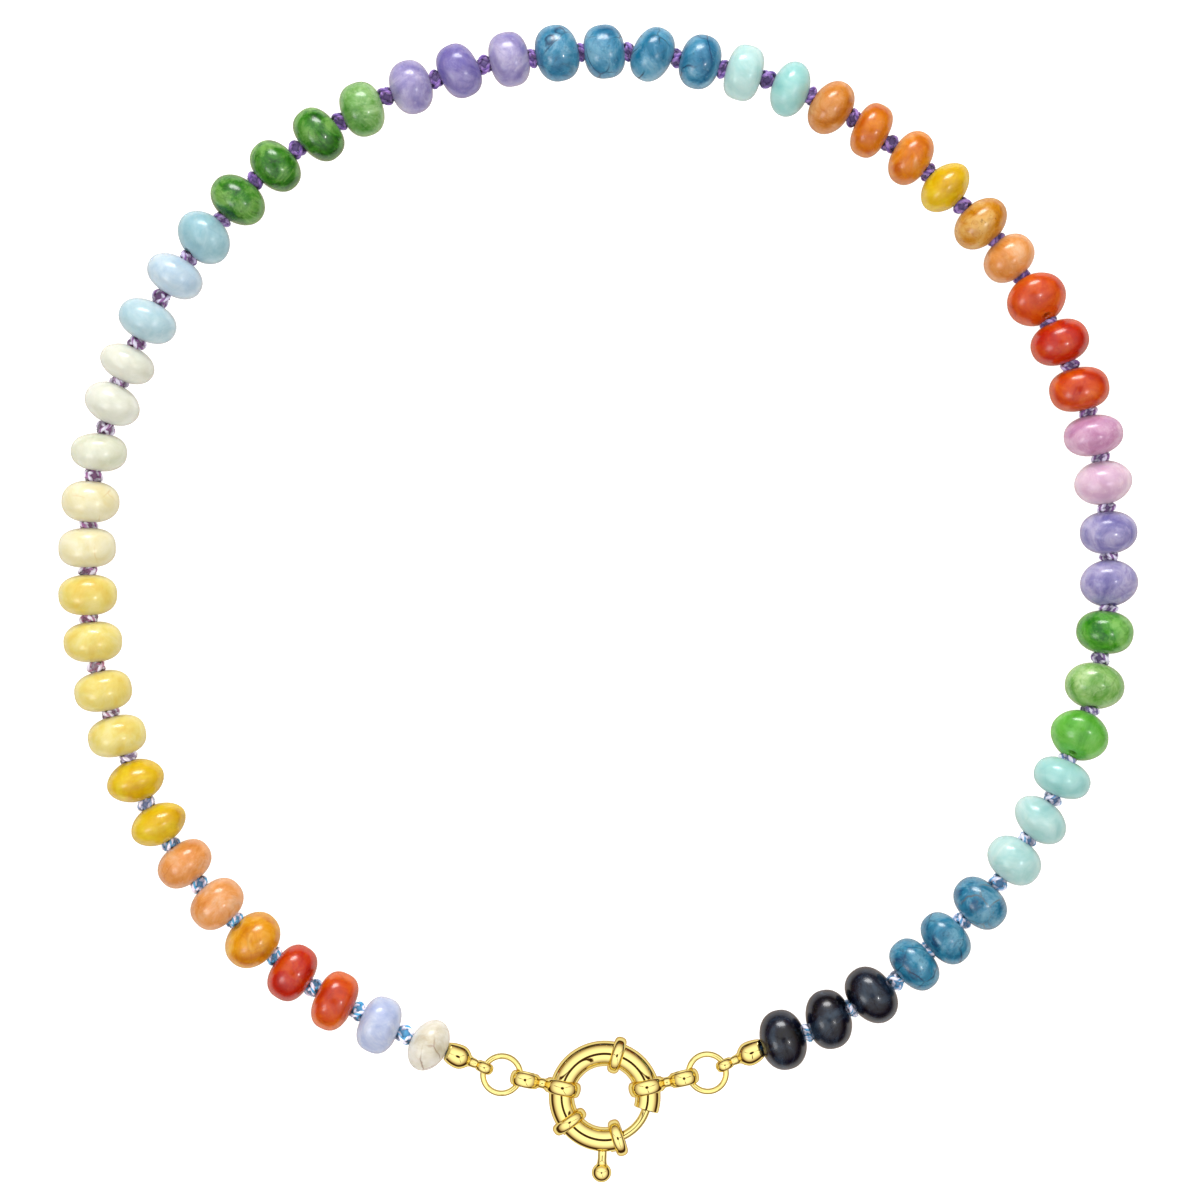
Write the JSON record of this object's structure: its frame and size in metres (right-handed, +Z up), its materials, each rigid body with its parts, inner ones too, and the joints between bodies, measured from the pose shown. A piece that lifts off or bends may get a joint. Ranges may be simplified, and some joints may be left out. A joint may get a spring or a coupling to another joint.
{
  "type": "beaded necklace",
  "caption": "Beaded necklace of rounded gemstone rondelles on knotted silk, a whole loop closed by a round gold spring clasp with end links and jump rings.",
  "frame": {"origin": "on the surface it lies on, under the middle of the whole loop", "axes": "+Z up off the surface; +Y from the clasp towards the back of the loop; +X to the right seen from above"},
  "size_m": [0.1454, 0.1556, 0.0082],
  "materials": {
    "gemstone": "polished, translucent, each stone its own colour",
    "gold": "polished yellow gold"
  },
  "bodies": {
    "necklace": {"bead_strand_left": "gemstone", "bead_strand_right": "gemstone", "bead_tip_left": "gold", "bead_tip_right": "gold", "jump_ring_left": "gold", "jump_ring_right": "gold", "end_link_left": "gold", "end_link_right": "gold", "clasp_body": "gold"},
    "bolt": {"clasp_bolt": "gold"}
  },
  "joints": [
    {"name": "bolt_turn", "type": "hinge", "parent": "necklace", "child": "bolt", "pos_m": [0.00083, -0.06658, 0.00255], "axis": [0, 0, 1], "range_deg": [-34, 0], "stiffness_Nm_per_rad": 0.01}
  ]
}
